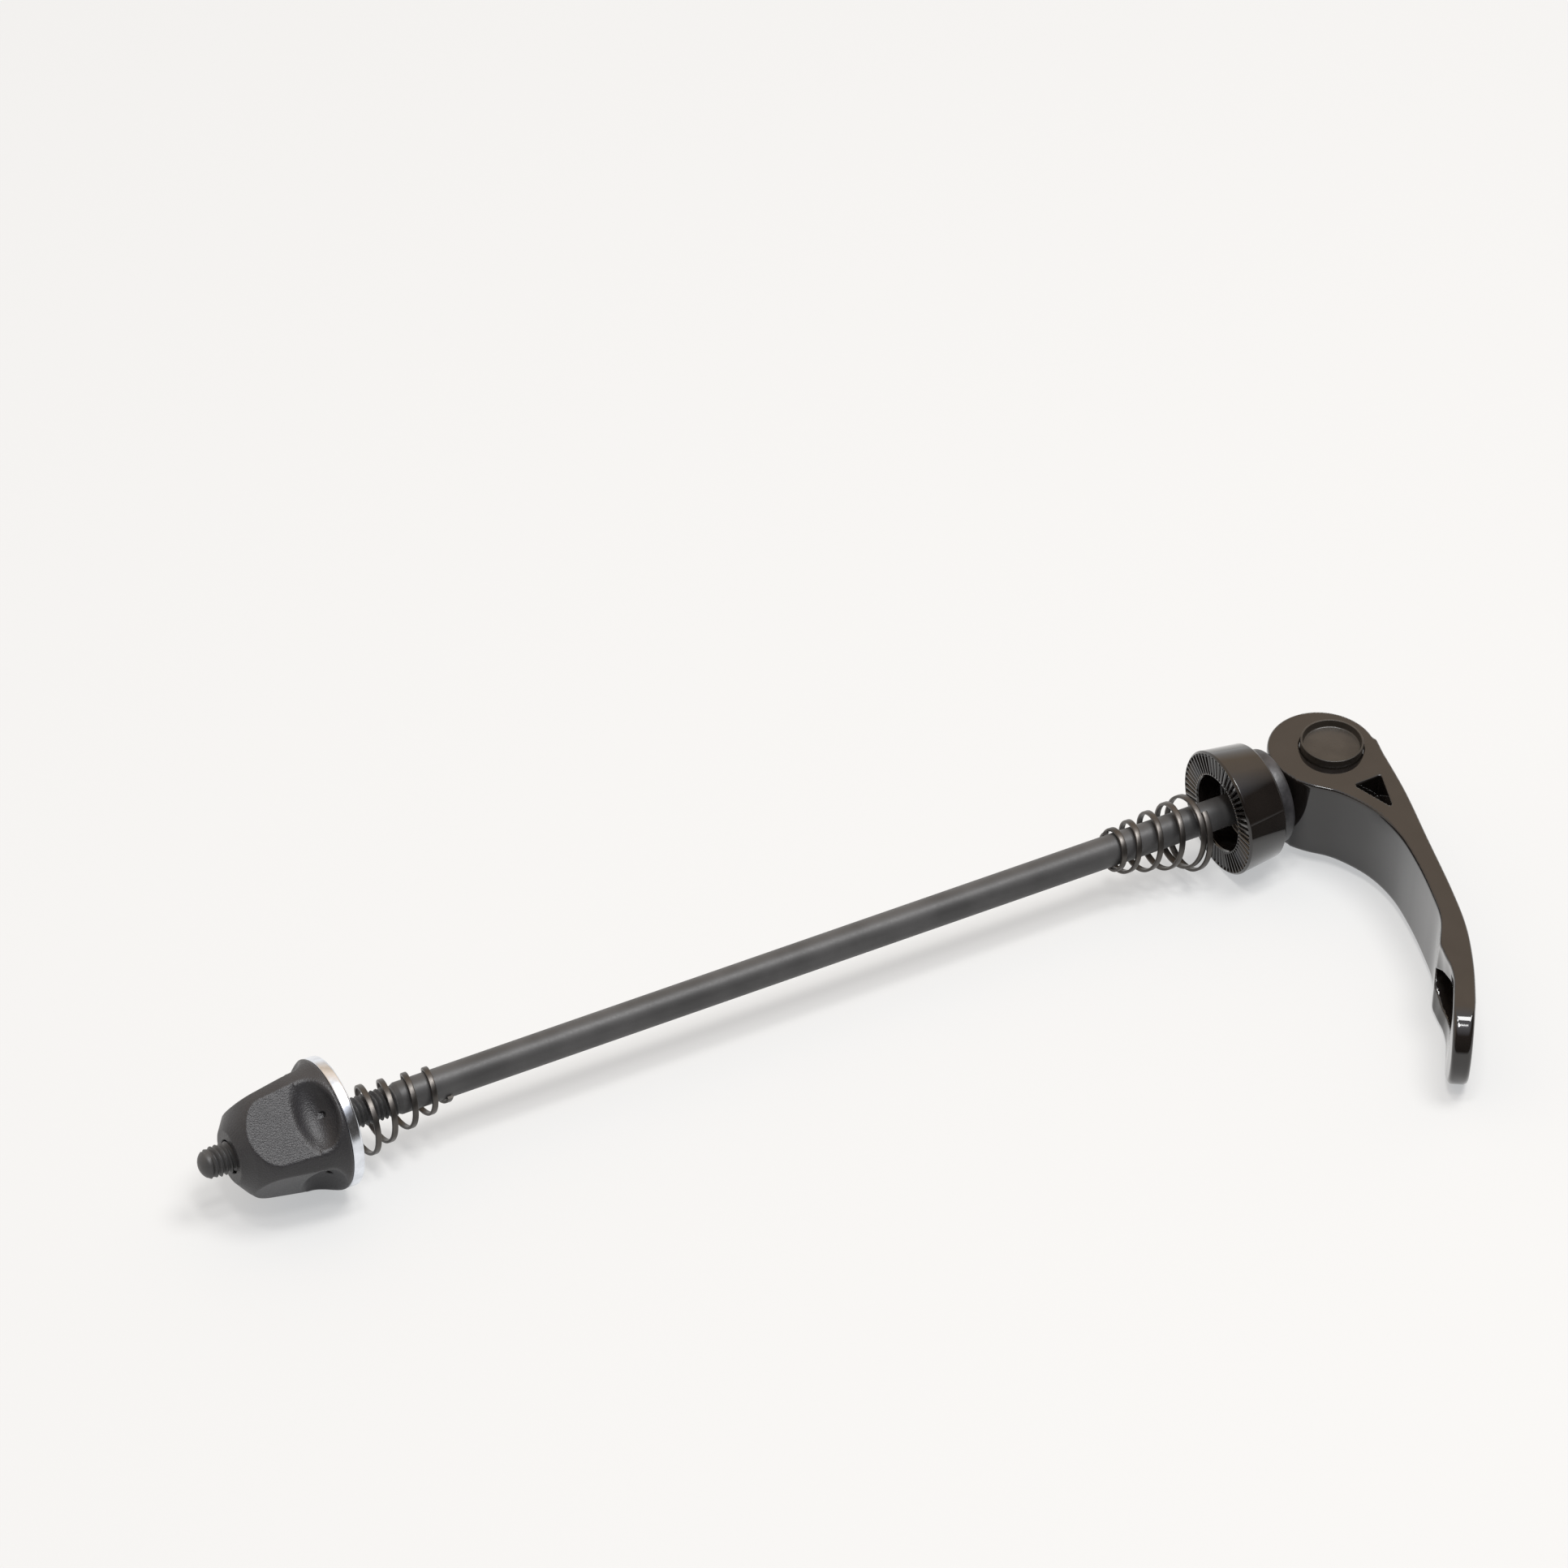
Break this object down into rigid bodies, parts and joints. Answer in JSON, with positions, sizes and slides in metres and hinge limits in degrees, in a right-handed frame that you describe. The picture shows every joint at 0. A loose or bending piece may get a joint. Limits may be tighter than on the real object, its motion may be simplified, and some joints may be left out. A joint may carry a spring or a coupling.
{
  "type": "quick release skewer",
  "caption": "Quick-release skewer for a bicycle rear wheel: slim rod, curved cam lever, cup, conical springs and adjusting nut.",
  "frame": {"origin": "on the rod's axis, in the plane of the cup's clamp face at the lever end", "axes": "+X along the rod towards the lever, +Z along the lever's pivot axis, the closed lever points along -Y"},
  "size_m": [0.2018, 0.0753, 0.0206],
  "materials": {
    "rod_steel": "matte black oxide",
    "barrel_steel": "satin black",
    "lever_paint": "gloss black paint",
    "saddle_plastic": "matte, scuffed",
    "cup_paint": "gloss black paint",
    "spring_steel": "dark satin spring steel",
    "zinc_steel": "bright zinc plating",
    "nylon": "natural nylon",
    "nut_plastic": "spark-textured black"
  },
  "bodies": {
    "spindle": {"rod": "rod_steel", "barrel_nut": "barrel_steel"},
    "lever": {"lever": "lever_paint"},
    "saddle": {"saddle": "saddle_plastic"},
    "cup": {"cup": "cup_paint"},
    "inner_spring": {"inner_spring": "spring_steel"},
    "outer_spring": {"outer_spring": "spring_steel"},
    "nut": {"nut_insert": "zinc_steel", "nut_lock_ring": "nylon", "nut_shell": "nut_plastic"}
  },
  "joints": [
    {"name": "lever_cam", "type": "hinge", "parent": "spindle", "child": "lever", "pos_m": [0.0202, 0, 0], "axis": [0, 0, 1], "range_deg": [0, 180]},
    {"name": "saddle_follow", "type": "slide", "parent": "spindle", "child": "saddle", "axis": [1, 0, 0], "range_m": [0, 0.0019]},
    {"name": "cup_spin", "type": "hinge", "parent": "saddle", "child": "cup", "pos_m": [0.004, 0, 0], "axis": [1, 0, 0], "continuous": true},
    {"name": "inner_spring_slide", "type": "slide", "parent": "spindle", "child": "inner_spring", "axis": [-1, 0, 0], "range_m": [0, 0.108]},
    {"name": "nut_travel", "type": "slide", "parent": "spindle", "child": "outer_spring", "axis": [1, 0, 0], "range_m": [-0.0081, 0.0041]},
    {"name": "nut_spin", "type": "hinge", "parent": "outer_spring", "child": "nut", "pos_m": [-0.16, 0, 0], "axis": [1, 0, 0], "range_deg": [-3600, 1800]}
  ],
  "couplings": [
    {"joint": "saddle_follow", "follows": "lever_cam", "m_per_rad": 0.0006},
    {"joint": "nut_travel", "follows": "nut_spin", "m_per_rad": 0.00012732}
  ]
}
